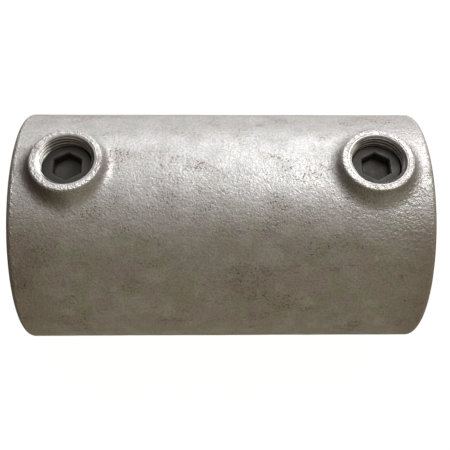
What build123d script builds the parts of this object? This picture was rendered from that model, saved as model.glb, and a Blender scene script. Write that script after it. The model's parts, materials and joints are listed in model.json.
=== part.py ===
from build123d import *
from math import radians, tan
import os

# Sleeve coupling that joins two lengths of tube end to end: one cast sleeve with two tapped bosses,
# and one socket set screw in each boss. Millimetres. The sleeve's axis is X, the bosses point to +Z,
# and the origin is on the axis at the middle of the sleeve's length.

# Sleeve casting
TUBE_OUTER_DIAMETER = 60.3
BORE_CLEARANCE = 0.75
WALL = 5.6
SLEEVE_LENGTH = 124.0
END_ROUND = 2.0
MOUTH_CHAMFER = 0.8

BORE_RADIUS = TUBE_OUTER_DIAMETER / 2 + BORE_CLEARANCE
OUTER_RADIUS = BORE_RADIUS + WALL

# Tapped bosses
BOSS_OFFSET = 45.1
BOSS_TOP_RADIUS = 10.6
BOSS_HEIGHT = 3.0
BOSS_ROOT = 5.0
BOSS_DRAFT = 6.0
BOSS_FOOT_FILLET = 2.0
BOSS_RIM_ROUND = 0.6

BOSS_FACE_Z = OUTER_RADIUS + BOSS_HEIGHT
BOSS_ROOT_RADIUS = BOSS_TOP_RADIUS + (BOSS_HEIGHT + BOSS_ROOT) * tan(radians(BOSS_DRAFT))

# G 3/8 pipe thread, kept as a plain cylinder on its minor diameter
THREAD_PITCH = 1.337
THREAD_MAJOR_RADIUS = 16.66 / 2
THREAD_MINOR_RADIUS = 14.95 / 2
THREAD_CLEARANCE = 0.05
COUNTERSINK_DEPTH = THREAD_MAJOR_RADIUS - THREAD_MINOR_RADIUS

# Socket set screws
SCREW_LENGTH = 5.0
SCREW_RADIUS = THREAD_MINOR_RADIUS - THREAD_CLEARANCE
SCREW_CHAMFER = 0.4
SCREW_TIP_Z = BORE_RADIUS + THREAD_CLEARANCE
SOCKET_ACROSS_FLATS = 8.0
SOCKET_DEPTH = 3.0
CUP_RADIUS = 4.5
CUP_FLOOR_RADIUS = 1.5
CUP_DEPTH = 0.7

# Set screw travel: in by one turn to bite the tube, out until about a turn and a quarter still holds
TURNS_IN = 1
TURNS_OUT = 5

TOUCH = 0.01
ON_TOP = (Align.CENTER, Align.CENTER, Align.MIN)
HANGING = (Align.CENTER, Align.CENTER, Align.MAX)


def outer_blank():
    """The solid bar that the sleeve is cored from, with its end edges rounded."""
    bar = Rot(0, 90, 0) * Cylinder(OUTER_RADIUS, SLEEVE_LENGTH)
    return fillet(bar.edges().filter_by(GeomType.CIRCLE), END_ROUND)


def boss_blank(x):
    """One drafted boss without its hole, rooted in the sleeve's wall."""
    cone = Cone(BOSS_ROOT_RADIUS, BOSS_TOP_RADIUS, BOSS_HEIGHT + BOSS_ROOT, align=HANGING)
    return Pos(x, 0, BOSS_FACE_Z) * cone


def boss_edges(casting, x):
    """The curved edges of the boss at x: (those at its foot, those round its face)."""
    foot, rim = [], []
    for edge in casting.edges():
        box = edge.bounding_box()
        inside = abs(box.min.X - x) < BOSS_ROOT_RADIUS and abs(box.max.X - x) < BOSS_ROOT_RADIUS
        if not inside or edge.geom_type == GeomType.LINE:
            continue
        if box.min.Z > BOSS_FACE_Z - TOUCH:
            rim.append(edge)
        elif box.max.Z < OUTER_RADIUS + TOUCH:
            foot.append(edge)
    return foot, rim


def with_boss(casting, x):
    """The casting with a boss at x blended into it, its foot filleted and its rim rounded."""
    casting = casting + boss_blank(x)
    casting = fillet(boss_edges(casting, x)[0], BOSS_FOOT_FILLET)
    return fillet(boss_edges(casting, x)[1], BOSS_RIM_ROUND)


def tube_bore():
    """What the bore removes: a plain cylinder that opens out a little at each end."""
    bore = Rot(0, 90, 0) * Cylinder(BORE_RADIUS, SLEEVE_LENGTH)
    mouth = Cone(BORE_RADIUS + MOUTH_CHAMFER, BORE_RADIUS, MOUTH_CHAMFER, align=ON_TOP)
    left = Pos(-SLEEVE_LENGTH / 2, 0, 0) * Rot(0, 90, 0) * mouth
    right = Pos(SLEEVE_LENGTH / 2, 0, 0) * Rot(0, -90, 0) * mouth
    return bore + left + right


def tapped_hole(x):
    """What one tapped hole removes: its minor cylinder and the countersink at its mouth."""
    drill = Cylinder(THREAD_MINOR_RADIUS, BOSS_FACE_Z, align=HANGING)
    countersink = Cone(THREAD_MINOR_RADIUS, THREAD_MAJOR_RADIUS, COUNTERSINK_DEPTH, align=HANGING)
    return Pos(x, 0, BOSS_FACE_Z) * (drill + countersink)


def sleeve_body():
    """The casting: a plain tube with two bosses, its bore and its two tapped holes."""
    casting = outer_blank()
    for x in (-BOSS_OFFSET, BOSS_OFFSET):
        casting = with_boss(casting, x)
    casting = casting - tube_bore()
    for x in (-BOSS_OFFSET, BOSS_OFFSET):
        casting = casting - tapped_hole(x)
    return casting


def set_screw(x):
    """One socket set screw, with a hexagon socket in its top and a cup in its tip."""
    blank = Cylinder(SCREW_RADIUS, SCREW_LENGTH, align=ON_TOP)
    blank = chamfer(blank.edges().filter_by(GeomType.CIRCLE), SCREW_CHAMFER)
    hexagon = RegularPolygon(SOCKET_ACROSS_FLATS / 2, 6, major_radius=False)
    socket = Pos(0, 0, SCREW_LENGTH - SOCKET_DEPTH) * extrude(hexagon, SOCKET_DEPTH)
    cup = Cone(CUP_RADIUS, CUP_FLOOR_RADIUS, CUP_DEPTH, align=ON_TOP)
    return Pos(x, 0, SCREW_TIP_Z) * (blank - socket - cup)


def main():
    """Writes one STEP file for each piece, and prints the set screws' travel."""
    os.makedirs("parts", exist_ok=True)
    pieces = {
        "sleeve_body": sleeve_body(),
        "set_screw_left": set_screw(-BOSS_OFFSET),
        "set_screw_right": set_screw(BOSS_OFFSET),
    }
    for name, shape in pieces.items():
        export_step(shape, f"parts/{name}.step")
    travel_in = TURNS_IN * THREAD_PITCH
    travel_out = TURNS_OUT * THREAD_PITCH
    print(f"set screws move from {-travel_in:.3f} mm to {travel_out:.3f} mm along +Z")


main()
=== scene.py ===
"""Blender model of a galvanised sleeve coupling for tube, with a socket set screw in each tapped boss.

Every length is in metres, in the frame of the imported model: X along the sleeve, +Z out of both bosses.
"""

import json
import logging
import math
from dataclasses import dataclass
from enum import Enum
from typing import Any, Callable, Optional, Union

import bmesh
import bpy
import numpy as np
from mathutils import Matrix, Vector


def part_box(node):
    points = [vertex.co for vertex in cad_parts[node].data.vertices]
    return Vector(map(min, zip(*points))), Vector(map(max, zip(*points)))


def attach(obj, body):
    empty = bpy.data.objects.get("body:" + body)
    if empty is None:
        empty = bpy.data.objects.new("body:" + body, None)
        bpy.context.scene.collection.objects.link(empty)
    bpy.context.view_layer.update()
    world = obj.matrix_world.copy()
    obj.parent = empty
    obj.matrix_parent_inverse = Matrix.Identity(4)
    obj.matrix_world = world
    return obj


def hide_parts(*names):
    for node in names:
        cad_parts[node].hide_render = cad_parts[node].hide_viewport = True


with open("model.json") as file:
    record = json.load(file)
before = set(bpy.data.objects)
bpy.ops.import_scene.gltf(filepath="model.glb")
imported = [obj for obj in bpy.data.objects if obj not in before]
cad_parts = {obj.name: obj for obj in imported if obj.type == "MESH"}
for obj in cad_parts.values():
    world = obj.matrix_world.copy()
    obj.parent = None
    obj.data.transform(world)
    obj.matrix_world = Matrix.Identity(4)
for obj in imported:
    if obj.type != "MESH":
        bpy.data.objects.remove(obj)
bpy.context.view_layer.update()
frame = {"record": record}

MM = 0.001
LOG = logging.getLogger("coupling")
Value = Union[float, int, bool, tuple, str, "Field"]
Range = tuple[float, float]
Colour = tuple[float, float, float, float]


class Pattern(Enum):
    """Where in the noise each pattern is read, so that no two of them line up."""

    CLOUDS = 0.0
    WAVES = 1.3
    GRAIN = 1.7
    STEEL_GRAIN = 2.0
    DRIFTS = 2.2
    BLUSH = 3.1
    GRIT = 4.4
    PITS = 5.9
    LUMPS = 6.1
    CREASES = 6.6
    MOSS = 7.3
    PEBBLES = 8.8


# ---- node trees


def operator(operation: str, reflected: bool = False) -> Callable[["Field", Value], "Field"]:
    """A method for one of Python's operators, which adds a Math node.

    Args:
        operation: The Math node's operation.
        reflected: Whether the socket is the second of the two values.

    Returns:
        The method.
    """

    def method(self: "Field", other: Value) -> "Field":
        """The result of the operation on this socket and a value."""
        return self.tree.math(operation, *((other, self) if reflected else (self, other)))

    return method


class Field:
    """One output socket of a node tree, with arithmetic that adds Math nodes."""

    def __init__(self, tree: "Tree", socket: bpy.types.NodeSocket) -> None:
        """Keeps the tree and the socket.

        Args:
            tree: The tree that the socket belongs to.
            socket: An output socket of one of its nodes.
        """
        self.tree = tree
        self.socket = socket

    __add__ = __radd__ = operator("ADD")
    __sub__ = operator("SUBTRACT")
    __rsub__ = operator("SUBTRACT", reflected=True)
    __mul__ = __rmul__ = operator("MULTIPLY")
    __truediv__ = operator("DIVIDE")
    __rtruediv__ = operator("DIVIDE", reflected=True)
    __pow__ = operator("POWER")


class Tree:
    """A shader or geometry node tree that is written as expressions."""

    def __init__(self, nodes: bpy.types.NodeTree) -> None:
        """Wraps a Blender node tree.

        Args:
            nodes: The tree that the nodes are added to.
        """
        self.nodes = nodes

    def link(self, value: Value, socket: bpy.types.NodeSocket) -> None:
        """Feeds a socket with a constant or with another socket.

        Args:
            value: A constant that fits the socket, or a Field.
            socket: The input socket.
        """
        if isinstance(value, Field):
            self.nodes.links.new(value.socket, socket)
        else:
            socket.default_value = value

    def node(
        self,
        kind: str,
        settings: Optional[dict[str, Any]] = None,
        inputs: Optional[dict[Union[str, int], Value]] = None,
        output: Union[str, int] = 0,
    ) -> Field:
        """Adds a node of any kind.

        Args:
            kind: The node's type, such as "ShaderNodeTexNoise".
            settings: Properties of the node, set before its sockets are fed.
            inputs: Values or links, by the socket's name, identifier or index.
            output: The output to return, by name or index.

        Returns:
            The chosen output.
        """
        made = self.nodes.nodes.new(kind)
        for name, setting in (settings or {}).items():
            setattr(made, name, setting)
        by_identifier = {socket.identifier: socket for socket in made.inputs}
        for key, value in (inputs or {}).items():
            self.link(value, by_identifier.get(key) or made.inputs[key])
        return Field(self, made.outputs[output])

    def math(self, operation: str, *values: Value) -> Field:
        """Adds a Math node, with its operation and what its sockets take, and returns the result."""
        return self.node("ShaderNodeMath", {"operation": operation}, dict(enumerate(values)))

    def stretched(self, vector: Value, amounts: tuple[float, float, float]) -> Field:
        """A vector times another, number by number."""
        return self.node("ShaderNodeVectorMath", {"operation": "MULTIPLY"}, {0: vector, 1: amounts})

    def scaled(self, vector: Value, amount: Value) -> Field:
        """A vector or a colour times a number."""
        return self.node("ShaderNodeVectorMath", {"operation": "SCALE"}, {0: vector, "Scale": amount})

    def mix(self, low: Value, high: Value, share: Value) -> Field:
        """A colour between two colours, by a share from 0 to 1."""
        inputs = {"Factor_Float": share, "A_Color": low, "B_Color": high}
        return self.node("ShaderNodeMix", {"data_type": "RGBA"}, inputs, 2)

    def noise(
        self, place: Field, size: Value, pattern: Pattern, detail: float = 2.0, rough: float = 0.5
    ) -> Field:
        """A cloudy pattern.

        Args:
            place: The coordinates that it reads.
            size: The size of its clouds.
            pattern: Which pattern it is.
            detail: How many finer layers it has.
            rough: How strong the finer layers are.

        Returns:
            A value near 0.5 that seldom leaves 0.2 to 0.8.
        """
        inputs = {"Vector": place, "W": pattern.value, "Scale": 1 / size}
        inputs |= {"Detail": detail, "Roughness": rough}
        return self.node("ShaderNodeTexNoise", {"noise_dimensions": "4D"}, inputs)

    def bump(self, height: Field) -> Field:
        """The normal of a surface whose relief has this height."""
        return self.node("ShaderNodeBump", inputs={"Strength": 1.0, "Distance": 1.0, "Height": height})

    def spread(
        self, value: Value, low: float, high: float, to_low: float = 0.0, to_high: float = 1.0
    ) -> Field:
        """A value's range stretched smoothly onto another.

        Args:
            value: What is stretched.
            low: The value that becomes to_low.
            high: The value that becomes to_high.
            to_low: The result at and below low.
            to_high: The result at and above high.

        Returns:
            The stretched value.
        """
        settings = {"interpolation_type": "SMOOTHSTEP"}
        inputs = {"Value": value, "From Min": low, "From Max": high, "To Min": to_low, "To Max": to_high}
        return self.node("ShaderNodeMapRange", settings, inputs)


class GeometryTree(Tree):
    """A Geometry Nodes tree with named inputs, run once on an object and then taken off it."""

    def __init__(self, name: str) -> None:
        """Makes an empty tree that takes and gives a geometry.

        Args:
            name: The tree's name.
        """
        self.group = bpy.data.node_groups.new(name, "GeometryNodeTree")
        super().__init__(self.group)
        self.group.interface.new_socket("Geometry", in_out="INPUT", socket_type="NodeSocketGeometry")
        self.group.interface.new_socket("Geometry", in_out="OUTPUT", socket_type="NodeSocketGeometry")
        self.entry = self.group.nodes.new("NodeGroupInput")
        self.identifiers: dict[str, str] = {}

    @property
    def geometry(self) -> Field:
        """The geometry that the tree is given."""
        return Field(self, self.entry.outputs["Geometry"])

    def number(self, name: str, kind: str = "NodeSocketFloat") -> Field:
        """Adds a named input.

        Args:
            name: The input's name.
            kind: Its socket type.

        Returns:
            The input's value inside the tree.
        """
        item = self.group.interface.new_socket(name, in_out="INPUT", socket_type=kind)
        self.identifiers[name] = item.identifier
        return Field(self, self.entry.outputs[name])

    def close(self, geometry: Field, material: Optional[bpy.types.Material]) -> None:
        """Ends the tree with real geometry in one material.

        Args:
            geometry: What the tree has made.
            material: The material that its faces get, or none to keep theirs.
        """
        real = self.node("GeometryNodeRealizeInstances", inputs={0: geometry})
        dressed = self.node("GeometryNodeSetMaterial", inputs={0: real, "Material": material})
        leave = self.group.nodes.new("NodeGroupOutput")
        self.link(dressed, leave.inputs["Geometry"])

    def run(self, target: bpy.types.Object, values: dict[str, Union[float, int]]) -> bpy.types.Mesh:
        """Runs the tree on an object and takes the modifier off again.

        Args:
            target: The object whose mesh the tree is given.
            values: A value for each named input.

        Returns:
            The plain mesh that the tree makes.
        """
        modifier = target.modifiers.new(self.group.name, "NODES")
        modifier.node_group = self.group
        for name, value in values.items():
            modifier[self.identifiers[name]] = value
        target.update_tag()
        depsgraph = bpy.context.evaluated_depsgraph_get()
        made = bpy.data.meshes.new_from_object(
            target.evaluated_get(depsgraph), preserve_all_data_layers=True, depsgraph=depsgraph
        )
        target.modifiers.remove(modifier)
        return made


# ---- mesh building


def linked(name: str, mesh: bpy.types.Mesh) -> bpy.types.Object:
    """A new object in the scene that shows a mesh.

    Args:
        name: The object's name.
        mesh: Its mesh.

    Returns:
        The object.
    """
    made = bpy.data.objects.new(name, mesh)
    bpy.context.scene.collection.objects.link(made)
    return made


def stacked(x: Any, y: Any, z: Any) -> np.ndarray:
    """Coordinates side by side in a last axis, each stretched to the shape of the others."""
    return np.stack(np.broadcast_arrays(x, y, z), axis=-1)


class Shell:
    """Grids of points gathered into one closed mesh and welded where their edges meet."""

    WELD = 3e-6
    CREASE = math.radians(42)

    def __init__(self, share_name: str) -> None:
        """Starts with nothing.

        Args:
            share_name: The name of the number from 0 to 1 that each point carries for its material.
        """
        self.share_name = share_name
        self.points: list[np.ndarray] = []
        self.shares: list[np.ndarray] = []
        self.faces: list[list[int]] = []
        self.count = 0

    def add(self, points: np.ndarray, faces: list[list[int]], share: Union[float, np.ndarray]) -> None:
        """Adds points and faces as they are.

        Args:
            points: One row of three coordinates for each point.
            faces: The points of each face, counted from 0 within these points.
            share: The number that each point carries, or one for all of them.
        """
        self.points.append(points)
        self.shares.append(np.broadcast_to(share, len(points)).astype(np.float32))
        self.faces += [[corner + self.count for corner in face] for face in faces]
        self.count += len(points)

    def grid(self, points: np.ndarray, share: Union[float, np.ndarray] = 0.0) -> None:
        """Adds a sheet of four-sided faces.

        Args:
            points: Rows by columns by three coordinates.
            share: The number that each point carries: one, or rows by columns of them.
        """
        rows, columns = points.shape[:2]
        ids = np.arange(rows * columns).reshape(rows, columns)
        quads = np.stack([ids[:-1, :-1], ids[:-1, 1:], ids[1:, 1:], ids[1:, :-1]], axis=-1)
        share = np.broadcast_to(share, (rows, columns)).reshape(-1)
        self.add(points.reshape(-1, 3), quads.reshape(-1, 4).tolist(), share)

    def mesh_part(self, mesh: bpy.types.Mesh, share: float) -> None:
        """Adds another mesh's points and faces.

        Args:
            mesh: The mesh, which is removed afterwards.
            share: The number that each of its points carries.
        """
        places = np.empty(len(mesh.vertices) * 3)
        mesh.vertices.foreach_get("co", places)
        self.add(places.reshape(-1, 3), [list(face.vertices) for face in mesh.polygons], share)
        bpy.data.meshes.remove(mesh)

    def build(self, name: str) -> bpy.types.Object:
        """Welds what was gathered and turns its faces outwards.

        Args:
            name: The object's name.

        Returns:
            A smooth-shaded object, creased at its sharp edges.
        """
        mesh = bpy.data.meshes.new(name)
        mesh.from_pydata(np.concatenate(self.points).tolist(), [], self.faces)
        carried = mesh.attributes.new(self.share_name, "FLOAT", "POINT")
        carried.data.foreach_set("value", np.concatenate(self.shares))
        work = bmesh.new()
        work.from_mesh(mesh)
        bmesh.ops.remove_doubles(work, verts=work.verts, dist=self.WELD)
        bmesh.ops.recalc_face_normals(work, faces=work.faces)
        open_edges = sum(1 for edge in work.edges if not edge.is_manifold)
        volume = work.calc_volume() / MM**3
        LOG.info("%s: %d faces, %d open edges, %.0f mm3", name, len(work.faces), open_edges, volume)
        work.to_mesh(mesh)
        work.free()
        mesh.shade_smooth()
        mesh.set_sharp_from_angle(angle=self.CREASE)
        return linked(name, mesh)


# ---- finishes


@dataclass(frozen=True)
class Finish:
    """What every finish shares: one Principled BSDF whose patterns read Object coordinates."""

    name: str

    def sockets(self, tree: Tree, point: Field) -> dict[str, Value]:
        """What the shader's sockets take.

        Args:
            tree: The tree that the patterns are added to.
            point: The Object coordinates.

        Returns:
            A constant or a link for each socket, by its name.
        """
        raise NotImplementedError

    def material(self) -> bpy.types.Material:
        """Builds the finish's node tree.

        Returns:
            The material.
        """
        material = bpy.data.materials.new(self.name)
        material.use_nodes = True
        material.node_tree.nodes.clear()
        tree = Tree(material.node_tree)
        point = tree.node("ShaderNodeTexCoord", output="Object")
        shader = tree.node("ShaderNodeBsdfPrincipled", inputs=self.sockets(tree, point))
        leave = tree.nodes.nodes.new("ShaderNodeOutputMaterial")
        tree.link(shader, leave.inputs["Surface"])
        return material


class CastingPlace:
    """Where a point of the casting is, from its middle and from the nearest boss, and how cast it is."""

    def __init__(self, tree: Tree, point: Field, boss_offset: float) -> None:
        """Takes the coordinates apart and reads the piece's "cast" share.

        Args:
            tree: The tree that the patterns are added to.
            point: The Object coordinates.
            boss_offset: How far each boss's axis is from the middle.
        """
        split = tree.node("ShaderNodeSeparateXYZ", inputs={0: point}).socket.node
        self.tree = tree
        self.point = point
        self.along, self.across, self.height = (Field(tree, split.outputs[axis]) for axis in "XYZ")
        self.ahead = self.along - tree.math("SIGN", self.along) * boss_offset
        self.reach = tree.math("SQRT", self.ahead**2 + self.across**2)
        self.cast = tree.node("ShaderNodeAttribute", {"attribute_name": "cast"}, output="Fac")
        self.filed = tree.spread(self.cast, 0.3, 0.45) * tree.spread(self.cast, 0.55, 0.9, 1.0, 0.0)


@dataclass(frozen=True)
class GalvanisedCasting(Finish):
    """Hot-dip zinc over a pebbly iron casting: mottled, stained in drifts, with painted shade and
    highlights.
    """

    boss_offset: float
    face_height: float
    bright: Colour = (0.67, 0.662, 0.680, 1)
    dull: Colour = (0.535, 0.527, 0.540, 1)
    mossy: Colour = (0.535, 0.565, 0.495, 1)
    rosy: Colour = (0.585, 0.535, 0.56, 1)
    stain: Colour = (0.44, 0.385, 0.365, 1)
    pit: Colour = (0.13, 0.12, 0.11, 1)
    rust: Colour = (0.17, 0.10, 0.065, 1)
    # painted shade at the foot of each boss
    foot_shade: Colour = (0.20, 0.175, 0.15, 1)
    crest: Colour = (0.50, 0.475, 0.475, 1)
    # painted highlight on the thread crests on the -X side of each hole
    wear_and_highlight: Colour = (0.97, 0.96, 0.95, 1)
    # painted shade in the thread grooves, deepest on the highlighted side
    groove_shade: Colour = (0.13, 0.12, 0.122, 1)
    deep_groove_shade: Colour = (0.03, 0.028, 0.027, 1)
    cloud_size: float = 7 * MM
    patch_size: float = 6 * MM
    patch_edge: Range = (0.46, 0.60)
    patch_strength: float = 0.8
    weathered_across: Range = (-24 * MM, -8 * MM)
    stained_left: Range = (-62 * MM, -44 * MM)
    stained_right: Range = (46 * MM, 62 * MM)
    end_stain: float = 0.7
    drift_stain: float = 0.35
    drift_stretch: tuple[float, float, float] = (0.55, 1.0, 1.0)
    grain_size: float = 0.55 * MM
    grain_contrast: Range = (0.80, 1.14)
    roughness: Range = (0.46, 0.38)
    pit_size: float = 0.62 * MM
    pit_depth: float = 0.04 * MM
    pit_strength: float = 0.62
    speck_spacing: float = 3.6 * MM
    speck_size: Range = (0.05, 0.15)
    speck_strength: float = 0.6
    speck_chance: float = 0.10
    # strength, heading, reach and height of the painted shade at the bosses' feet
    foot_shade_strength: float = 0.85
    foot_shade_heading: Range = (-0.8, -0.6)
    foot_shade_ahead: Range = (2.5 * MM, 12 * MM)
    foot_shade_reach: Range = (11 * MM, 16 * MM)
    foot_shade_start: Range = (-1.0 * MM, -0.4 * MM)
    # where the threads' painted highlight lies, and how far it shifts the groove shade
    highlight_ahead: Range = (-7.2 * MM, -4.2 * MM)
    highlight_shift: float = 0.4 * MM
    # where the painted shade in the grooves lies and where it starts below the mouth
    groove_reach: Range = (7.52 * MM, 7.8 * MM)
    thread_start: Range = (-0.22 * MM, -0.12 * MM)
    pebble_size: float = 0.95 * MM
    pebble_depth: float = 0.118 * MM
    grit_size: float = 0.45 * MM
    grit_depth: float = 0.072 * MM
    crease_size: float = 1.5 * MM
    crease_depth: float = 0.11 * MM
    creased_left: Range = (-60 * MM, -30 * MM)
    creased_right: Range = (28 * MM, 52 * MM)
    smoothed_end: Range = (56 * MM, 60.5 * MM)
    filed_depth: float = 0.18 * MM
    # lightening of the filed faces: partly bare filed metal, partly a painted highlight
    filed_metal_and_highlight: float = 0.16
    machined_relief: float = 0.15
    metallic: float = 0.94

    def sockets(self, tree: Tree, point: Field) -> dict[str, Value]:
        """What the zinc's sockets take.

        Args:
            tree: The tree that the patterns are added to.
            point: The Object coordinates.

        Returns:
            A constant or a link for each socket, by its name.
        """
        place = CastingPlace(tree, point, self.boss_offset)
        clouds = tree.noise(point, self.cloud_size, Pattern.CLOUDS, 3, 0.55)
        drifts = self.drifts(place)
        pits, specks = self.pits(place, drifts), self.specks(place)
        colour = self.patina(place, clouds, drifts)
        colour = tree.mix(colour, self.pit, pits * self.pit_strength)
        colour = tree.mix(colour, self.rust, specks)
        # painted shade at the foot of each boss, on the side that faces -X and -Y
        colour = tree.mix(colour, self.foot_shade, self.painted_foot_shade(place) * self.foot_shade_strength)
        # the filed boss faces are lightened: partly bare filed metal, partly a painted highlight
        colour = tree.scaled(colour, 1 + place.filed * self.filed_metal_and_highlight)
        colour = tree.mix(self.threads(place), colour, tree.spread(place.cast, 0.0, 0.3))
        grain = tree.noise(point, self.grain_size, Pattern.GRAIN, 2, 0.6)
        return {
            "Base Color": tree.scaled(colour, tree.spread(grain, 0.25, 0.75, *self.grain_contrast)),
            "Roughness": tree.spread(clouds, 0.3, 0.7, *self.roughness) + pits * 0.3 + specks * 0.2,
            "Metallic": self.metallic,
            "Normal": tree.bump(self.relief(place, pits)),
        }

    def patina(self, place: CastingPlace, clouds: Field, drifts: Field) -> Field:
        """The zinc's own colours, which show most on the side that faces -Y and at both ends.

        Args:
            place: Where a point of the casting is.
            clouds: The pattern that its brightness follows.
            drifts: 1 where it is stained.

        Returns:
            The colour.
        """
        tree = place.tree
        weathered = tree.spread(place.across, *self.weathered_across, 1.0, 0.25)
        colour = tree.mix(self.dull, self.bright, tree.spread(clouds, 0.20, 0.66))
        for tint, pattern in ((self.mossy, Pattern.MOSS), (self.rosy, Pattern.BLUSH)):
            patches = tree.noise(place.point, self.patch_size, pattern)
            share = tree.spread(patches, *self.patch_edge, 0.0, self.patch_strength)
            colour = tree.mix(colour, tint, share * weathered)
        left = tree.spread(place.along, *self.stained_left, self.end_stain, 0.0)
        right = tree.spread(place.along, *self.stained_right, 0.0, self.end_stain)
        return tree.mix(colour, self.stain, drifts * self.drift_stain + (left + right) * weathered)

    def threads(self, place: CastingPlace) -> Field:
        """The threads' colours: painted shade in the grooves, and a painted highlight on the -X side of
        each hole.

        Args:
            place: Where a point of the casting is.

        Returns:
            The colour.
        """
        tree = place.tree
        # painted highlight on the -X side of each hole
        bright = tree.spread(place.ahead, *self.highlight_ahead, 1.0, 0.0)
        start, end = (self.face_height + depth for depth in self.thread_start)
        # painted shade in the thread grooves, below the mouth's bevel
        groove_shade_mask = tree.spread(place.reach - bright * self.highlight_shift, *self.groove_reach)
        groove_shade_mask = groove_shade_mask * tree.spread(place.height, start, end, 1.0, 0.0)
        groove_shade = tree.mix(self.groove_shade, self.deep_groove_shade, bright)
        return tree.mix(tree.mix(self.crest, self.wear_and_highlight, bright), groove_shade, groove_shade_mask)

    def drifts(self, place: CastingPlace) -> Field:
        """Where fine pits and brown stains gather, in drifts that run along the sleeve."""
        drawn_out = place.tree.stretched(place.point, self.drift_stretch)
        wide = place.tree.noise(drawn_out, self.cloud_size, Pattern.DRIFTS, 3, 0.6)
        return place.tree.spread(wide, 0.50, 0.66)

    def pits(self, place: CastingPlace, drifts: Field) -> Field:
        """Small dark pits, most of them in the drifts."""
        fine = place.tree.noise(place.point, self.pit_size, Pattern.PITS, 2, 0.6)
        return place.tree.spread(fine, 0.54, 0.64) * (drifts * 0.75 + 0.25)

    def painted_foot_shade(self, place: CastingPlace) -> Field:
        """Where shade is painted: the wall and foot of each boss, on the side that faces -X and -Y.

        Args:
            place: Where a point of the casting is.

        Returns:
            1 in the darkest painted shade and 0 where there is none.
        """
        tree = place.tree
        lean = place.ahead * self.foot_shade_heading[0] + place.across * self.foot_shade_heading[1]
        start, end = (self.face_height + depth for depth in self.foot_shade_start)
        foot_shade = tree.spread(lean, *self.foot_shade_ahead) * tree.spread(place.reach, *self.foot_shade_reach, 1.0, 0.0)
        foot_shade = foot_shade * tree.spread(place.height, start, end, 1.0, 0.0)
        foot_shade = foot_shade * tree.spread(place.height, 0.0, 10 * MM)
        return foot_shade * tree.spread(place.along, -10 * MM, 10 * MM, 1.0, 0.4)

    def specks(self, place: CastingPlace) -> Field:
        """Rare brown specks, each in a cell of its own.

        Args:
            place: Where a point of the casting is.

        Returns:
            How strong the speck is, and 0 outside.
        """
        tree = place.tree
        inputs = {"Vector": place.point, "Scale": 1 / self.speck_spacing}
        near = tree.node("ShaderNodeTexVoronoi", inputs=inputs, output="Distance")
        cell = tree.node("ShaderNodeTexVoronoi", inputs=inputs, output="Color")
        draw = tree.node("ShaderNodeSeparateColor", inputs={0: cell})
        drawn = tree.math("LESS_THAN", draw, self.speck_chance)
        return tree.spread(near, *self.speck_size, self.speck_strength, 0.0) * drawn

    def relief(self, place: CastingPlace, pits: Field) -> Field:
        """The zinc's relief: pebbles and fine grit, creased near the +X end, sandy on the bosses' faces.

        Args:
            place: Where a point of the casting is.
            pits: 1 in a pit.

        Returns:
            Its height.
        """
        tree, point = place.tree, place.point
        pebbles = tree.noise(point, self.pebble_size, Pattern.PEBBLES, 2, 0.55)
        grit = tree.noise(point, self.grit_size, Pattern.GRIT, 1)
        creases = tree.noise(point, self.crease_size, Pattern.CREASES, 1)
        creased = tree.spread(place.along, *self.creased_right)
        creased = creased + tree.spread(place.along, *self.creased_left, 0.3, 0.0)
        creased = creased * tree.spread(place.cast, 0.6, 1.0)
        creased = creased * tree.spread(place.along, *self.smoothed_end, 1.0, 0.3)
        skin = (pebbles * self.pebble_depth + grit * self.grit_depth) * (1 + creased * 0.95)
        skin = skin - pits * self.pit_depth + creases * creased * self.crease_depth
        skin = skin * tree.spread(place.cast, 0.0, 0.3, self.machined_relief, 1.0)
        return skin + (pebbles + grit) * place.filed * self.filed_depth


@dataclass(frozen=True)
class BlackOxide(Finish):
    """Oiled black steel, worn grey where threads and edges rub."""

    black: Colour = (0.056, 0.053, 0.051, 1)
    brown: Colour = (0.062, 0.054, 0.050, 1)
    worn: Colour = (0.11, 0.105, 0.10, 1)
    smudge_size: float = 3 * MM
    smudge_depth: float = 0.01 * MM
    grain_size: float = 0.35 * MM
    grain_depth: float = 0.012 * MM
    roughness: Range = (0.42, 0.60)
    metallic: float = 0.5

    def sockets(self, tree: Tree, point: Field) -> dict[str, Value]:
        """What the steel's sockets take.

        Args:
            tree: The tree that the patterns are added to.
            point: The Object coordinates.

        Returns:
            A constant or a link for each socket, by its name.
        """
        worn = tree.node("ShaderNodeAttribute", {"attribute_name": "worn"}, output="Fac")
        smudge = tree.noise(point, self.smudge_size, Pattern.CLOUDS, 3, 0.6)
        grain = tree.noise(point, self.grain_size, Pattern.STEEL_GRAIN, 2, 0.6)
        wear_and_highlight = tree.spread(worn * 0.7 + grain * 0.6, 0.70, 1.0, 0.0, 0.8)
        colour = tree.mix(self.black, self.brown, tree.spread(smudge, 0.4, 0.65))
        return {
            "Base Color": tree.mix(colour, self.worn, wear_and_highlight),
            "Roughness": tree.spread(smudge, 0.3, 0.7, *self.roughness),
            "Metallic": self.metallic,
            "Normal": tree.bump(grain * self.grain_depth + smudge * self.smudge_depth),
        }


@dataclass(frozen=True)
class PalePaper(Finish):
    """The studio's floor and surround: nearly white paper."""

    paper: Colour = (0.06, 0.06, 0.06, 1)
    fibre: Colour = (0.05, 0.05, 0.05, 1)
    fibre_size: float = 40 * MM
    light: Colour = (1.0, 1.0, 0.995, 1)
    glow: float = 0.99
    roughness: float = 0.9

    def sockets(self, tree: Tree, point: Field) -> dict[str, Value]:
        """What the paper's sockets take.

        Args:
            tree: The tree that the patterns are added to.
            point: The Object coordinates.

        Returns:
            A constant or a link for each socket, by its name.
        """
        fibre = tree.noise(point, self.fibre_size, Pattern.CLOUDS, 3)
        return {
            "Base Color": tree.mix(self.fibre, self.paper, fibre),
            "Roughness": self.roughness,
            "Emission Color": self.light,
            "Emission Strength": self.glow,
        }


# ---- pieces


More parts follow.
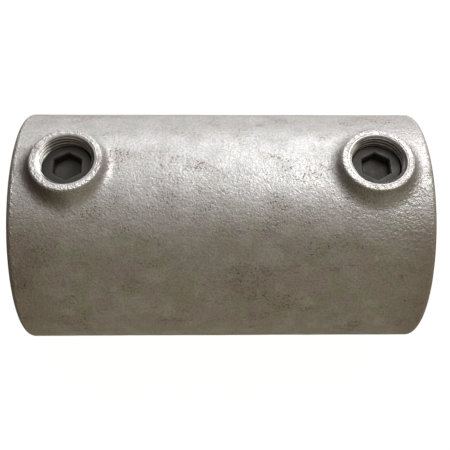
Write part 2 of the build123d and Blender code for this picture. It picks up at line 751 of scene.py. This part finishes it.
class Side(Enum):
    """Which side of a threaded wall the metal is on."""

    HOLE = 1
    SCREW = -1


@dataclass(frozen=True)
class Thread:
    """A G 3/8 pipe thread: its pitch, its diameters, and the play between a screw and its hole."""

    pitch: float = 1.337 * MM
    minor_radius: float = 14.95 / 2 * MM
    major_radius: float = 16.66 / 2 * MM
    play: float = 0.07 * MM
    columns: int = 144
    rows_per_turn: int = 9

    @property
    def depth(self) -> float:
        """How far the grooves go in."""
        return self.major_radius - self.minor_radius


class ThreadedWall:
    """A round wall with a helical thread, made by one Geometry Nodes tree for holes and screws alike."""

    THREAD_INPUTS = ("Centre X", "Side", "Inner Radius", "Depth", "Pitch")
    WALL_INPUTS = ("Top", "Bottom", "End Radius", "End Slope", "Saddle Radius")
    COUNT_INPUTS = ("Columns", "Rows")

    def __init__(self, thread: Thread) -> None:
        """Builds the tree.

        Args:
            thread: The thread that every wall carries.
        """
        self.thread = thread
        self.tree = GeometryTree("threaded_wall")
        self.carrier = linked("threaded_wall_carrier", bpy.data.meshes.new("threaded_wall_carrier"))
        self.build()

    def build(self) -> None:
        """Rolls a flat grid into a wall whose radius follows the thread, with a cone at each end."""
        tree = self.tree
        centre, side, crest, depth, pitch = map(tree.number, self.THREAD_INPUTS)
        top, bottom, end_radius, end_slope, saddle = map(tree.number, self.WALL_INPUTS)
        columns, rows = (tree.number(name, "NodeSocketInt") for name in self.COUNT_INPUTS)
        sheet = {"Size X": 1.0, "Size Y": 1.0, "Vertices X": columns, "Vertices Y": rows}
        grid = tree.node("GeometryNodeMeshGrid", inputs=sheet)
        place = tree.node("GeometryNodeInputPosition")
        split = tree.node("ShaderNodeSeparateXYZ", inputs={0: place})
        turn = split + 0.5
        rise = Field(tree, split.socket.node.outputs["Y"]) + 0.5
        angle = turn * math.tau
        across, along = tree.math("SINE", angle), tree.math("COSINE", angle)
        reach = saddle**2 - (end_radius * across)**2
        floor = bottom - (saddle - tree.math("SQRT", tree.math("MAXIMUM", reach, 0.0)))
        height = floor + (top - floor) * rise
        wave = tree.math("COSINE", (height / pitch - turn) * math.tau)
        threaded = crest + depth * (0.5 - wave * 0.5)
        run_out = tree.math("MINIMUM", top - height, height - floor)
        cone = end_radius - side * end_slope * run_out
        radius = side * tree.math("MAXIMUM", side * threaded, side * cone)
        point = {"X": centre + radius * along, "Y": radius * across, "Z": height}
        moved = tree.node("ShaderNodeCombineXYZ", inputs=point)
        wall = tree.node("GeometryNodeSetPosition", inputs={"Geometry": grid, "Position": moved})
        seam = tree.node("GeometryNodeMergeByDistance", inputs={"Geometry": wall, "Distance": Shell.WELD})
        tree.close(seam, None)

    def make(
        self,
        side: Side,
        centre: float,
        top: float,
        bottom: float,
        end_radius: float,
        end_slope: float,
        saddle: float,
    ) -> bpy.types.Mesh:
        """Makes one wall.

        Args:
            side: Whether it lines a hole or covers a screw.
            centre: Where its axis stands along X.
            top: The height of its upper edge.
            bottom: The height of its lower edge.
            end_radius: Its radius at both edges.
            end_slope: How fast the run-out cones leave that radius.
            saddle: The radius of the bore that its lower edge follows, or 0 if that edge is flat.

        Returns:
            The wall, open at both ends.
        """
        thread = self.thread
        play = thread.play if side is Side.SCREW else 0.0
        rows = round((top - bottom) / thread.pitch * thread.rows_per_turn)
        threaded = (centre, float(side.value), thread.minor_radius - play, thread.depth, thread.pitch)
        values = dict(zip(self.THREAD_INPUTS, threaded))
        values |= zip(self.WALL_INPUTS, (top, bottom, end_radius, end_slope, saddle))
        values |= zip(self.COUNT_INPUTS, (thread.columns + 1, rows + 1))
        return self.tree.run(self.carrier, values)

    def discard(self) -> None:
        """Removes the object that the tree runs on."""
        bpy.data.objects.remove(self.carrier)


@dataclass
class CastSkin:
    """The unevenness of a sand casting under zinc, pressed into a mesh by a Geometry Nodes tree."""

    INPUTS = ("Wave Depth", "Wave Size", "Lump Depth", "Lump Size")

    wave_depth: float = 0.20 * MM
    wave_size: float = 12 * MM
    lump_depth: float = 0.08 * MM
    lump_size: float = 3.0 * MM

    def __post_init__(self) -> None:
        """Builds the tree, which only ever moves points inwards."""
        self.tree = tree = GeometryTree("cast_skin")
        wave_depth, wave_size, lump_depth, lump_size = map(tree.number, self.INPUTS)
        share = tree.node("GeometryNodeInputNamedAttribute", {"data_type": "FLOAT"}, {"Name": "cast"})
        place = tree.node("GeometryNodeInputPosition")
        waves = tree.noise(place, wave_size, Pattern.WAVES) * wave_depth
        lumps = tree.noise(place, lump_size, Pattern.LUMPS) * lump_depth
        inwards = tree.scaled(tree.node("GeometryNodeInputNormal"), (waves + lumps) * share * -1.0)
        moved = tree.node("GeometryNodeSetPosition", inputs={"Geometry": tree.geometry, "Offset": inwards})
        tree.close(moved, None)

    def press(self, piece: bpy.types.Object) -> None:
        """Gives a piece its uneven skin where its "cast" share says.

        Args:
            piece: The piece, whose mesh is swapped for the uneven one.
        """
        smooth = piece.data
        sizes = (self.wave_depth, self.wave_size, self.lump_depth, self.lump_size)
        piece.data = self.tree.run(piece, dict(zip(self.INPUTS, sizes)))
        bpy.data.meshes.remove(smooth)


@dataclass
class SleeveCasting:
    """The galvanised casting: a tube with two tapped bosses near its ends."""

    half_length: float
    outer_radius: float
    bore_radius: float
    face_height: float
    boss_offset: float
    thread: Thread
    end_round: float = 2.0 * MM
    bore_chamfer: float = 0.8 * MM
    boss_radius: float = 10.6 * MM
    boss_draft: float = math.radians(6)
    boss_rim: float = 0.5 * MM
    boss_blend: float = 3.4 * MM
    mouth_radius: float = 8.44 * MM
    mouth_bevel: float = 0.10 * MM
    run_out_slope: float = 3.0
    bore_share: float = 0.3
    end_share: float = 0.7
    patch_steps: int = 36
    middle_steps: int = 72
    bore_middle_steps: int = 20
    round_steps: int = 236
    boss_rings: int = 32
    exit_rings: int = 8
    round_rings: int = 6
    ray_samples: int = 240
    ray_height: float = 30 * MM
    ray_range: tuple[float, float] = (0.5, 1.6)
    ray_halvings: int = 36

    @classmethod
    def from_frame(cls, thread: Thread) -> "SleeveCasting":
        """Reads the sleeve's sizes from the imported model.

        Args:
            thread: The thread of its tapped holes.

        Returns:
            A sleeve of those sizes.
        """
        low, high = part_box("sleeve_body")
        screw_low, screw_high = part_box("set_screw_right")
        bore = next(mount for mount in frame["record"]["mounts"] if mount["name"] == "tube_bore")
        return cls(
            half_length=(high[0] - low[0]) / 2,
            outer_radius=(high[1] - low[1]) / 2,
            bore_radius=bore["dims"]["r_mm"] * MM,
            face_height=high[2],
            boss_offset=(screw_low[0] + screw_high[0]) / 2,
            thread=thread,
        )

    @property
    def patch_half(self) -> float:
        """Half the side of the square of skin that is drawn round a boss."""
        return self.half_length - self.end_round - self.boss_offset

    @property
    def thread_radius(self) -> float:
        """The radius at which the threaded wall starts and ends."""
        return self.mouth_radius - self.mouth_bevel

    @property
    def thread_top(self) -> float:
        """The height at which the threaded wall starts."""
        return self.face_height - self.mouth_bevel

    def turns(self) -> tuple[np.ndarray, np.ndarray]:
        """Turn angles from +Z.

        Returns:
            The angles across the strip with the bosses, and those of the rest of the way round.
        """
        half = self.patch_half / self.outer_radius
        strip = np.linspace(-half, half, self.patch_steps + 1)
        rest = np.linspace(half, math.tau - half, self.round_steps + 1)
        return strip, rest

    def stations(self, middle_steps: int) -> tuple[np.ndarray, np.ndarray]:
        """Places along X from patch to patch, and from end to end.

        Args:
            middle_steps: The number of steps between the two patches.

        Returns:
            The places between the patches, and all of them.
        """
        inner, outer = self.boss_offset - self.patch_half, self.boss_offset + self.patch_half
        middle = np.linspace(-inner, inner, middle_steps + 1)
        patch = np.linspace(inner, outer, self.patch_steps + 1)
        return middle, np.concatenate([-patch[::-1], middle[1:-1], patch])

    @staticmethod
    def round_grid(stations: np.ndarray, radii: Union[float, np.ndarray], turns: np.ndarray) -> np.ndarray:
        """Points of a surface turned about X.

        Args:
            stations: Places along X, one for each row.
            radii: The radius at each station, or one for all.
            turns: Angles from +Z, one for each column.

        Returns:
            Rows by columns by three coordinates.
        """
        radii = np.asarray(radii).reshape(-1, 1)
        return stacked(np.asarray(stations)[:, None], radii * np.sin(turns), radii * np.cos(turns))

    def spokes(self) -> tuple[np.ndarray, np.ndarray, np.ndarray]:
        """The spokes round a boss.

        Returns:
            Their angles, and where along X and round the sleeve each meets a square from -1 to 1.
        """
        count = 4 * self.patch_steps
        index = np.arange(count + 1)
        angle = -math.pi / 4 + math.tau * index / count
        quarter = index // self.patch_steps % 4
        slide = 2 * (index % self.patch_steps) / self.patch_steps - 1
        edge = np.ones_like(slide)
        along = np.choose(quarter, [edge, -slide, -edge, slide])
        round_ = np.choose(quarter, [slide, edge, -slide, -edge])
        return angle, along, round_

    def skin_distance(self, points: np.ndarray, centre: float) -> np.ndarray:
        """How far points are outside the tube with a drafted boss blended into it.

        Args:
            points: Coordinates in the last axis.
            centre: Where the boss stands along X.

        Returns:
            The distance, below 0 inside.
        """
        x, y, z = np.moveaxis(points, -1, 0)
        tube = np.hypot(y, z) - self.outer_radius
        wall = self.boss_radius + (self.face_height - z) * math.tan(self.boss_draft)
        above = z - self.face_height + self.boss_rim
        beside = (np.hypot(x - centre, y) - wall) * math.cos(self.boss_draft) + self.boss_rim
        boss = np.minimum(np.maximum(above, beside), 0) - self.boss_rim
        boss += np.hypot(np.maximum(above, 0), np.maximum(beside, 0))
        blend = np.maximum(self.boss_blend - np.abs(tube - boss), 0)
        return np.minimum(tube, boss) - blend**2 / (4 * self.boss_blend)

    def boss_grid(self, centre: float) -> np.ndarray:
        """The skin of a boss, from its mouth out to the square round it.

        Args:
            centre: Where the boss stands along X.

        Returns:
            Rings by spokes by three coordinates.
        """
        angle, along, round_ = self.spokes()
        turn = round_ * self.patch_half / self.outer_radius
        radius = self.mouth_radius
        mouth = stacked(centre + radius * np.cos(angle), radius * np.sin(angle), self.face_height)
        radius = self.outer_radius
        rim = stacked(centre + along * self.patch_half, radius * np.sin(turn), radius * np.cos(turn))
        origin = np.array([centre, 0.0, self.ray_height])
        share = np.linspace(0, 1, self.ray_samples)[:, None, None]
        rays = (1 - share) * (mouth - origin) + share * (rim - origin)
        near, far = (np.full(rays.shape[:2], bound) for bound in self.ray_range)
        for _ in range(self.ray_halvings):
            half = (near + far) / 2
            inside = self.skin_distance(origin + rays * half[..., None], centre) < 0
            near, far = np.where(inside, half, near), np.where(inside, far, half)
        skin = origin + rays * near[..., None]
        skin[0], skin[-1] = mouth, rim
        return self.even_rings(skin)

    def even_rings(self, skin: np.ndarray) -> np.ndarray:
        """Picks rings that are evenly spaced along each spoke.

        Args:
            skin: Many samples by spokes by three coordinates.

        Returns:
            Rings by spokes by three coordinates.
        """
        steps = np.linalg.norm(np.diff(skin, axis=0), axis=-1)
        rings = np.empty((self.boss_rings + 1, *skin.shape[1:]))
        for spoke in range(skin.shape[1]):
            travelled = np.concatenate([[0], np.cumsum(steps[:, spoke])])
            wanted = np.linspace(0, travelled[-1], self.boss_rings + 1)
            for axis in range(3):
                rings[:, spoke, axis] = np.interp(wanted, travelled, skin[:, spoke, axis])
        return rings

    def boss_shares(self, rings: np.ndarray, centre: float) -> np.ndarray:
        """How cast the skin of a boss is.

        Args:
            rings: The points of that skin.
            centre: Where the boss stands along X.

        Returns:
            0 at the mouth, half on the face, and 1 beyond.
        """
        reach = np.hypot(rings[..., 0] - centre, rings[..., 1])
        face = np.clip((reach - self.mouth_radius) / (0.6 * MM), 0, 1)
        beyond = np.clip((reach - self.boss_radius) / (1.5 * MM), 0, 1)
        return 0.5 * face + 0.5 * beyond

    def mouth_ring(self, centre: float) -> np.ndarray:
        """The narrow bevel between a boss's face and the thread.

        Args:
            centre: Where the boss stands along X.

        Returns:
            Two rings of points.
        """
        angle = self.spokes()[0]
        radius = np.array([self.mouth_radius, self.thread_radius])[:, None]
        height = np.array([self.face_height, self.thread_top])[:, None]
        return stacked(centre + radius * np.cos(angle), radius * np.sin(angle), height)

    def exit_grid(self, centre: float) -> np.ndarray:
        """The bore's wall round the inner end of a tapped hole.

        Args:
            centre: Where the hole stands along X.

        Returns:
            Rings by spokes by three coordinates.
        """
        angle, along, round_ = self.spokes()
        radius = self.thread_radius
        hole_turn = np.arcsin(radius * np.sin(angle) / self.bore_radius)
        square_turn = round_ * self.patch_half / self.outer_radius
        share = np.linspace(0, 1, self.exit_rings + 1)[:, None]
        turn = (1 - share) * hole_turn + share * square_turn
        reach = (1 - share) * radius * np.cos(angle) + share * along * self.patch_half
        return stacked(centre + reach, self.bore_radius * np.sin(turn), self.bore_radius * np.cos(turn))

    def end_profile(self) -> tuple[np.ndarray, np.ndarray]:
        """The section of one end, from the outer skin to the bore.

        Returns:
            Its places along X, and its radii.
        """
        bend = np.linspace(0, math.pi / 2, self.round_rings + 1)
        along = self.half_length - self.end_round * (1 - np.sin(bend))
        radii = self.outer_radius - self.end_round * (1 - np.cos(bend))
        lip = self.bore_radius + self.bore_chamfer
        face = np.linspace(radii[-1], lip, 5)[1:]
        end = np.full_like(face, self.half_length)
        along = np.concatenate([along, end, [self.half_length - self.bore_chamfer]])
        radii = np.concatenate([radii, face, [self.bore_radius]])
        inner = self.boss_offset + self.patch_half
        return np.append(along, inner), np.append(radii, self.bore_radius)

    def build(self, walls: ThreadedWall, skin: CastSkin, material: bpy.types.Material) -> bpy.types.Object:
        """Builds and dresses the casting.

        Args:
            walls: What makes the threaded holes.
            skin: What makes the cast surface uneven.
            material: Its finish.

        Returns:
            The finished piece.
        """
        shell = Shell("cast")
        strip, rest = self.turns()
        middle, every = self.stations(self.middle_steps)
        shell.grid(self.round_grid(middle, self.outer_radius, strip), 1.0)
        shell.grid(self.round_grid(every, self.outer_radius, rest), 1.0)
        middle, every = self.stations(self.bore_middle_steps)
        shell.grid(self.round_grid(middle, self.bore_radius, strip), self.bore_share)
        shell.grid(self.round_grid(every, self.bore_radius, rest), self.bore_share)
        along, radii = self.end_profile()
        whole = np.concatenate([strip, rest[1:]])
        for side in (-1, 1):
            shell.grid(self.round_grid(side * along, radii, whole), self.end_share)
            centre = side * self.boss_offset
            rings = self.boss_grid(centre)
            shell.grid(rings, self.boss_shares(rings, centre))
            shell.grid(self.mouth_ring(centre), 0.0)
            wall = walls.make(
                Side.HOLE,
                centre,
                self.thread_top,
                self.bore_radius,
                self.thread_radius,
                self.run_out_slope,
                self.bore_radius,
            )
            shell.mesh_part(wall, 0.0)
            fading = np.linspace(0, self.bore_share, self.exit_rings + 1)[:, None]
            shell.grid(self.exit_grid(centre), fading)
        piece = shell.build("galvanised_sleeve")
        skin.press(piece)
        piece.data.materials.clear()
        piece.data.materials.append(material)
        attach(piece, "sleeve")
        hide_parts("sleeve_body")
        return piece


@dataclass
class SetScrew:
    """One socket set screw with a hexagon socket in its top and a cup in its tip."""

    node: str
    body: str
    centre: float
    tip: float
    top: float
    thread: Thread
    end_radius: float = 6.95 * MM
    run_out_slope: float = 1.1
    flats: float = 8.0 * MM
    socket_bevel: float = 0.35 * MM
    socket_depth: float = 3.0 * MM
    drill_depth: float = 0.7 * MM
    cup_radius: float = 4.5 * MM
    cup_floor_radius: float = 1.5 * MM
    cup_depth: float = 0.7 * MM
    cup_edge: float = 0.15 * MM

    @classmethod
    def from_frame(cls, node: str, body: str, thread: Thread) -> "SetScrew":
        """Reads a screw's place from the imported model.

        Args:
            node: Its CAD node.
            body: The body that it rides on.
            thread: Its thread.

        Returns:
            A screw in that place.
        """
        low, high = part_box(node)
        return cls(node, body, (low[0] + high[0]) / 2, low[2], high[2], thread)

    @property
    def angles(self) -> np.ndarray:
        """The angles of a ring's points, which end where they start."""
        return np.linspace(0, math.tau, self.thread.columns + 1)

    def ring(self, radius: Union[float, np.ndarray], height: float) -> np.ndarray:
        """A ring of points round the screw's axis, with one radius or one for each point."""
        return stacked(self.centre + radius * np.cos(self.angles), radius * np.sin(self.angles), height)

    def hexagon(self, flats: float, height: float) -> np.ndarray:
        """A ring of points on a hexagon of a size across its flats."""
        within = (self.angles + math.pi / 6) % (math.pi / 3) - math.pi / 6
        return self.ring(flats / 2 / np.cos(within), height)

    def socket(self) -> list[tuple[np.ndarray, float]]:
        """The screw's top and its hexagon socket.

        Returns:
            Rings of points from the rim to the drill mark, each with how worn it is.
        """
        floor, drilled = self.top - self.socket_depth, self.drill_depth
        opening = self.flats + 2 * self.socket_bevel
        return [
            (self.ring(self.end_radius, self.top), 0.8),
            (self.ring(self.end_radius - 0.3 * MM, self.top), 0.5),
            (self.ring((self.end_radius + opening / 2) / 2, self.top), 0.4),
            (self.hexagon(opening, self.top), 0.9),
            (self.hexagon(self.flats, self.top - self.socket_bevel), 0.5),
            (self.hexagon(self.flats, (self.top + floor) / 2), 0.2),
            (self.hexagon(self.flats, floor), 0.1),
            (self.ring(self.flats / 2 * 0.9, floor), 0.0),
            (self.ring(self.flats / 4, floor - drilled * 0.6), 0.0),
            (self.ring(0.0, floor - drilled), 0.0),
        ]

    def cup(self) -> list[tuple[np.ndarray, float]]:
        """The screw's tip, whose edge bites the tube.

        Returns:
            Rings of points from the rim to the middle, each with how worn it is.
        """
        floor, edge = self.tip + self.cup_depth, self.cup_edge
        return [
            (self.ring(self.end_radius, self.tip), 0.6),
            (self.ring(self.cup_radius + edge, self.tip), 0.9),
            (self.ring(self.cup_radius - edge, self.tip + 0.1 * MM), 0.7),
            (self.ring(self.cup_floor_radius, floor), 0.2),
            (self.ring(0.0, floor), 0.1),
        ]

    def build(self, walls: ThreadedWall, material: bpy.types.Material) -> bpy.types.Object:
        """Builds and dresses the screw.

        Args:
            walls: What makes its thread.
            material: Its finish.

        Returns:
            The finished piece.
        """
        shell = Shell("worn")
        wall = walls.make(
            Side.SCREW, self.centre, self.top, self.tip, self.end_radius, self.run_out_slope, 0.0
        )
        shell.mesh_part(wall, 0.6)
        for rings in (self.socket(), self.cup()):
            shell.grid(np.stack([ring for ring, _ in rings]), np.array([[worn] for _, worn in rings]))
        piece = shell.build(f"{self.node}_threaded")
        piece.data.materials.append(material)
        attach(piece, self.body)
        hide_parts(self.node)
        return piece


# ---- studio


@dataclass(frozen=True)
class Viewpoint:
    """Where the camera stands: square to the sleeve's axis, and tilted up round it."""

    elevation: float = 61.3
    distance: float = 250.6 * MM
    sideways: float = -3.8 * MM
    yaw: float = -1.19
    roll: float = 0.07
    lens: float = 60.1

    def place(self) -> bpy.types.Object:
        """Makes the camera and gives it to the scene.

        Returns:
            The camera.
        """
        data = bpy.data.cameras.new("camera")
        data.lens = self.lens
        data.clip_start = 10 * MM
        camera = linked("camera", data)
        turned = Matrix.Rotation(math.radians(self.yaw), 4, "Z")
        aim = turned @ Matrix.Rotation(math.radians(self.roll), 4, "Y")
        stand = Matrix.Translation(Vector((self.sideways, -self.distance, 0)))
        upright = Matrix.Rotation(math.radians(90), 4, "X")
        tilt = Matrix.Rotation(math.radians(-self.elevation), 4, "X")
        camera.matrix_world = tilt @ stand @ aim @ upright
        bpy.context.scene.camera = camera
        return camera


@dataclass(frozen=True)
class Softbox:
    """A soft area light that faces the object."""

    name: str
    direction: tuple[float, float, float]
    width: float
    height: float
    power: float
    colour: tuple[float, float, float]
    distance: float = 0.92

    def place(self) -> bpy.types.Object:
        """Makes the light.

        Returns:
            The light.
        """
        data = bpy.data.lights.new(self.name, "AREA")
        data.shape = "RECTANGLE"
        data.size, data.size_y = self.width, self.height
        data.energy = self.power
        data.color = self.colour
        light = linked(self.name, data)
        towards = Vector(self.direction).normalized()
        turned = towards.to_track_quat("Z", "Y").to_matrix().to_4x4()
        light.matrix_world = Matrix.Translation(towards * self.distance) @ turned
        return light


@dataclass
class Studio:
    """A pale floor and surround that only the camera sees, a dim warm room, and soft lights."""

    floor_height: float
    room: Colour = (0.265, 0.232, 0.165, 1)
    dim_end: Colour = (0.10, 0.083, 0.062, 1)
    room_strength: float = 1.06
    reach: float = 6.0
    lights: tuple[Softbox, ...] = (
        Softbox("window_right", (0.40, 0.34, 0.90), 0.5, 0.4, 1.86, (0.99, 1.0, 1.0)),
        Softbox("window_middle", (0.28, 0.56, 0.80), 0.6, 0.45, 0.79, (0.96, 0.99, 1.0)),
        Softbox("window_left", (-0.28, 0.56, 0.80), 0.6, 0.45, 0.33, (0.93, 0.98, 1.0)),
        Softbox("back_middle", (0.0, 0.875, 0.485), 1.4, 0.45, 2.38, (0.97, 0.985, 1.0)),
        Softbox("back_right", (0.45, 0.85, 0.485), 0.7, 0.45, 0.63, (0.96, 0.98, 1.0)),
        Softbox("low_back", (0.25, 1.0, -0.28), 1.5, 0.5, 1.66, (0.95, 0.96, 1.0)),
        Softbox("mid_back", (0.0, 1.0, 0.10), 1.5, 0.4, 0.41, (0.85, 0.90, 1.0)),
        Softbox("overhead", (0.30, 0.12, 1.0), 0.9, 0.4, 0.38, (0.90, 0.95, 1.0)),
        Softbox("overhead_left", (-0.30, 0.12, 1.0), 0.6, 0.4, 0.32, (0.93, 0.97, 1.0)),
        Softbox("right_side", (0.95, 0.45, 0.55), 0.5, 0.5, 0.3, (0.97, 0.99, 1.0)),
        Softbox("overhead_front", (0.10, -0.15, 1.0), 0.9, 0.4, 0.22, (0.90, 0.85, 1.0)),
    )

    def build(self, material: bpy.types.Material) -> None:
        """Sets the stage.

        Args:
            material: The paper of its floor and surround.
        """
        work = bmesh.new()
        sides = [(-1, -1), (1, -1), (1, 1), (-1, 1)]
        corners = [(x * self.reach, y * self.reach, self.floor_height) for x, y in sides]
        work.faces.new([work.verts.new(corner) for corner in corners])
        self.show(work, "floor", material)
        work = bmesh.new()
        bmesh.ops.create_uvsphere(work, u_segments=48, v_segments=24, radius=self.reach)
        bmesh.ops.reverse_faces(work, faces=work.faces)
        self.show(work, "surround", material)
        world = bpy.data.worlds.new("room")
        world.use_nodes = True
        background = world.node_tree.nodes["Background"]
        tree = Tree(world.node_tree)
        heading = tree.node("ShaderNodeTexCoord", output="Generated")
        along = tree.node("ShaderNodeSeparateXYZ", inputs={0: heading})
        wall = tree.mix(self.dim_end, self.room, tree.spread(along, -0.75, -0.15))
        tree.link(wall, background.inputs["Color"])
        background.inputs["Strength"].default_value = self.room_strength
        bpy.context.scene.world = world
        for light in self.lights:
            light.place()

    def show(self, work: bmesh.types.BMesh, name: str, material: bpy.types.Material) -> None:
        """Turns a sketch into a part of the stage that only the camera sees.

        Args:
            work: The sketch, which is freed.
            name: The object's name.
            material: Its paper.
        """
        mesh = bpy.data.meshes.new(name)
        work.to_mesh(mesh)
        work.free()
        mesh.materials.append(material)
        made = linked(name, mesh)
        made.visible_diffuse = made.visible_glossy = made.visible_transmission = made.visible_shadow = False


def main() -> None:
    """Builds the pieces and the studio; the imported parts that they replace stay in the scene, hidden."""
    logging.basicConfig(level=logging.INFO, format="%(name)s: %(message)s")
    bpy.context.scene.view_settings.view_transform = "Standard"
    thread = Thread()
    walls, skin = ThreadedWall(thread), CastSkin()
    sleeve = SleeveCasting.from_frame(thread)
    zinc = GalvanisedCasting("hot_dip_zinc", sleeve.boss_offset, sleeve.face_height).material()
    steel = BlackOxide("black_oxide_steel").material()
    LOG.info("made %s", sleeve.build(walls, skin, zinc).name)
    for node, body in (("set_screw_left", "screw_left"), ("set_screw_right", "screw_right")):
        screw = SetScrew.from_frame(node, body, thread)
        LOG.info("made %s", screw.build(walls, steel).name)
    walls.discard()
    Studio(floor_height=-sleeve.outer_radius).build(PalePaper("pale_paper").material())
    Viewpoint().place()


if __name__ == "__main__":
    main()
